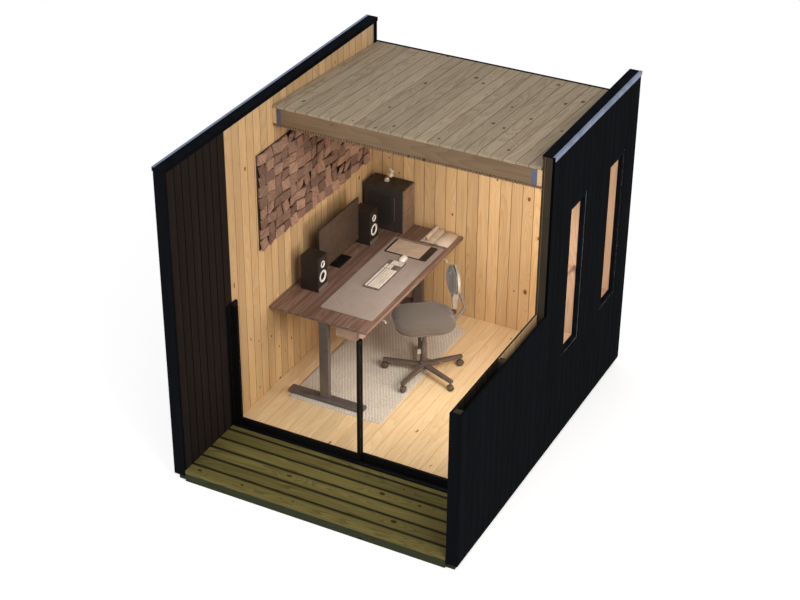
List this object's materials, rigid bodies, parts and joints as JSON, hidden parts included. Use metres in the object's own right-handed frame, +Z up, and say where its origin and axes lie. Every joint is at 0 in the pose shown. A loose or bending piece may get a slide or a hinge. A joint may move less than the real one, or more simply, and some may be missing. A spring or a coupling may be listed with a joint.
{
  "type": "cutaway garden office pod",
  "caption": "Flat-roofed timber garden office pod as a cutaway: black cladding, pine lining, recessed deck, glazed sliding front, tall side windows, desk and chair inside.",
  "frame": {"origin": "on the ground under the middle of the pod", "axes": "+X to the right side seen from the open front, +Y to the back, +Z up"},
  "size_m": [2.208, 2.868, 2.445],
  "materials": {
    "black_cladding": "black stained boards",
    "porch_cladding": "dark stained boards",
    "black_trim": "satin black",
    "galvanised": "galvanised",
    "drip_metal": "grey coated",
    "stud_timber": "sawn softwood",
    "pine_lining": "clear lacquered pine",
    "roof_timber": "weathered sawn boards",
    "base_timber": "treated dark timber",
    "deck_timber": "olive decking",
    "dark_fascia": "dark stained",
    "black_aluminium": "black powder coat",
    "clear_glass": "clear",
    "walnut": "oiled walnut",
    "desk_steel": "dark grey powder coat",
    "beige_board": "matt beige",
    "dark_board": "dark satin",
    "chair_fabric": "woven grey brown",
    "chair_tube": "brushed",
    "black_plastic": "matt black",
    "rug_wool": "woven beige",
    "block_wood": "rough brown blocks",
    "screen": "dark screen",
    "grey_felt": "felt",
    "cream_plastic": "cream",
    "paper": "uncoated"
  },
  "bodies": {
    "pod": {"back_wall_cladding": "black_cladding", "back_wall_frame": "stud_timber", "back_wall_lining": "pine_lining", "base_bearers": "base_timber", "base_end_boards": "base_timber", "cabinet_case": "dark_board", "cabinet_fronts": "beige_board", "cap_drip_edges": "drip_metal", "ceiling_boards": "pine_lining", "chair_back": "chair_fabric", "chair_back_shell": "chair_tube", "chair_back_tube": "chair_tube", "chair_base": "desk_steel", "chair_casters": "black_plastic", "chair_column": "chair_tube", "chair_seat": "chair_fabric", "deck_boards": "deck_timber", "deck_fascia": "dark_fascia", "deck_joists": "base_timber", "desk_drawer": "beige_board", "desk_legs": "desk_steel", "desk_mat": "grey_felt", "desk_rail": "desk_steel", "desk_top": "walnut", "door_jambs": "black_aluminium", "door_sill": "black_aluminium", "fixed_leaf_frame": "black_aluminium", "fixed_leaf_glass": "clear_glass", "floor_boards": "pine_lining", "floor_panel": "base_timber", "joist_hangers": "galvanised", "keyboard": "cream_plastic", "left_wall_cladding": "black_cladding", "left_wall_frame": "stud_timber", "left_wall_lining": "pine_lining", "monitor_screen": "screen", "monitor_stand": "black_plastic", "mouse": "cream_plastic", "open_book": "paper", "right_wall_cladding": "black_cladding", "right_wall_lining": "pine_lining", "right_wall_studs": "stud_timber", "roof_back_trim": "black_trim", "roof_boards": "roof_timber", "roof_joists": "stud_timber", "roof_side_rails": "stud_timber", "rug": "rug_wool", "shelf_ornament": "cream_plastic", "sketch_pad": "paper", "speakers": "black_plastic", "wall_caps": "black_trim", "wall_end_trims": "black_trim", "wall_panel": "block_wood", "window_frames": "black_aluminium", "window_glass": "clear_glass", "window_liners": "pine_lining", "wing_cladding": "porch_cladding"},
    "sliding_leaf": {"sliding_leaf_frame": "black_aluminium", "sliding_leaf_glass": "clear_glass"}
  },
  "joints": [
    {"name": "door_slide", "type": "slide", "parent": "pod", "child": "sliding_leaf", "axis": [-1, 0, 0], "range_m": [0, 0.973]}
  ]
}
